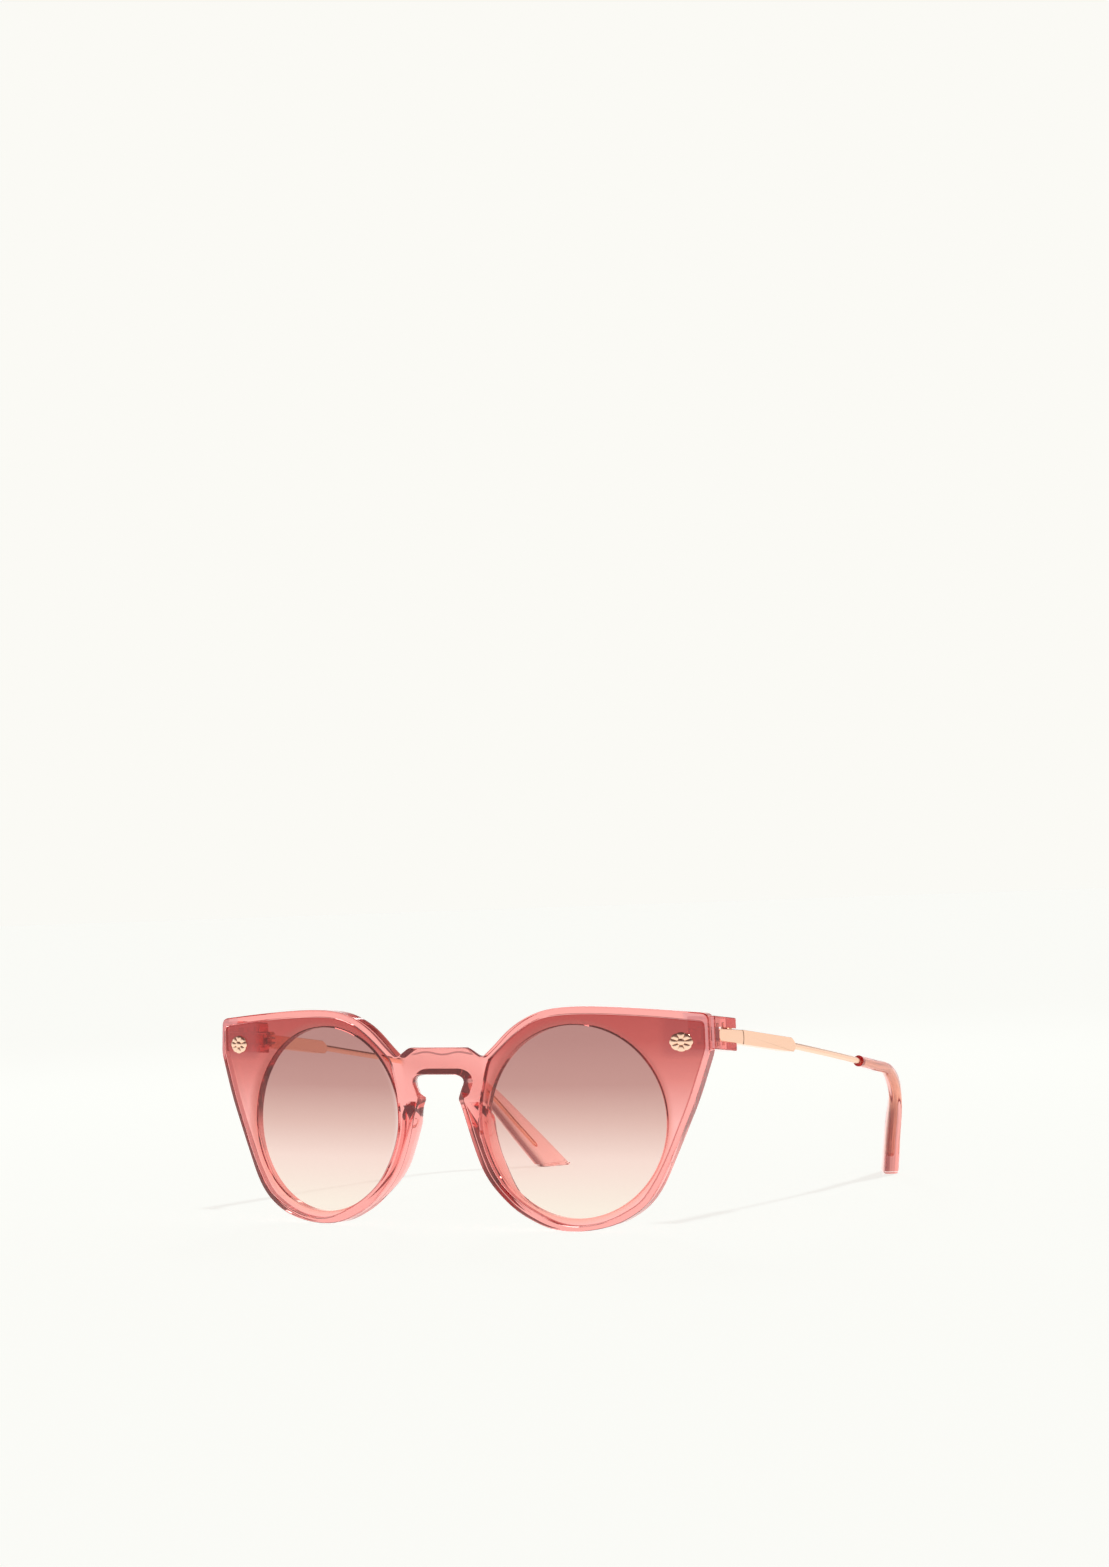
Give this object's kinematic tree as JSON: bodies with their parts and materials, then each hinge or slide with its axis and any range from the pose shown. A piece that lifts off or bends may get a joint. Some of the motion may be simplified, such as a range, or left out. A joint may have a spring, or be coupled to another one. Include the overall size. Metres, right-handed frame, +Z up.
{
  "type": "cat eye sunglasses",
  "caption": "Cat eye sunglasses with a clear tinted front, flat gradient lenses, stud trims and slim folding metal temples with plastic tips.",
  "frame": {"origin": "middle of the bottom of the bounding box, on the plane that the glasses rest on", "axes": "+X to the wearer's left, +Y back along the open temples, +Z up"},
  "size_m": [0.143, 0.1394, 0.0523],
  "materials": {
    "clear_pink_plastic": "polished, clear",
    "gradient_lens": "polished, tinted from dark at the top to pale at the bottom",
    "rose_gold_metal": "polished plating",
    "washer_polymer": "plain"
  },
  "bodies": {
    "front": {"frame_front": "clear_pink_plastic", "nose_pad_left": "clear_pink_plastic", "nose_pad_right": "clear_pink_plastic", "lens_left": "gradient_lens", "lens_right": "gradient_lens", "trim_stud_left": "rose_gold_metal", "trim_stud_right": "rose_gold_metal", "hinge_bracket_left": "rose_gold_metal", "hinge_bracket_right": "rose_gold_metal", "front_bracket_pin_left": "rose_gold_metal", "front_bracket_pin_right": "rose_gold_metal", "rear_bracket_pin_left": "rose_gold_metal", "rear_bracket_pin_right": "rose_gold_metal", "hinge_screw_left": "rose_gold_metal", "hinge_screw_right": "rose_gold_metal", "upper_hinge_washer_left": "washer_polymer", "upper_hinge_washer_right": "washer_polymer", "lower_hinge_washer_left": "washer_polymer", "lower_hinge_washer_right": "washer_polymer"},
    "left_temple": {"temple_sleeve_left": "rose_gold_metal", "temple_wire_left": "rose_gold_metal", "temple_tip_left": "clear_pink_plastic"},
    "right_temple": {"temple_sleeve_right": "rose_gold_metal", "temple_wire_right": "rose_gold_metal", "temple_tip_right": "clear_pink_plastic"}
  },
  "joints": [
    {"name": "left_temple_fold", "type": "hinge", "parent": "front", "child": "left_temple", "pos_m": [0.0669, -0.04605, 0.0436], "axis": [0, 0, 1], "range_deg": [0, 87]},
    {"name": "right_temple_fold", "type": "hinge", "parent": "front", "child": "right_temple", "pos_m": [-0.0669, -0.04605, 0.0436], "axis": [0, 0, -1], "range_deg": [0, 80]}
  ]
}
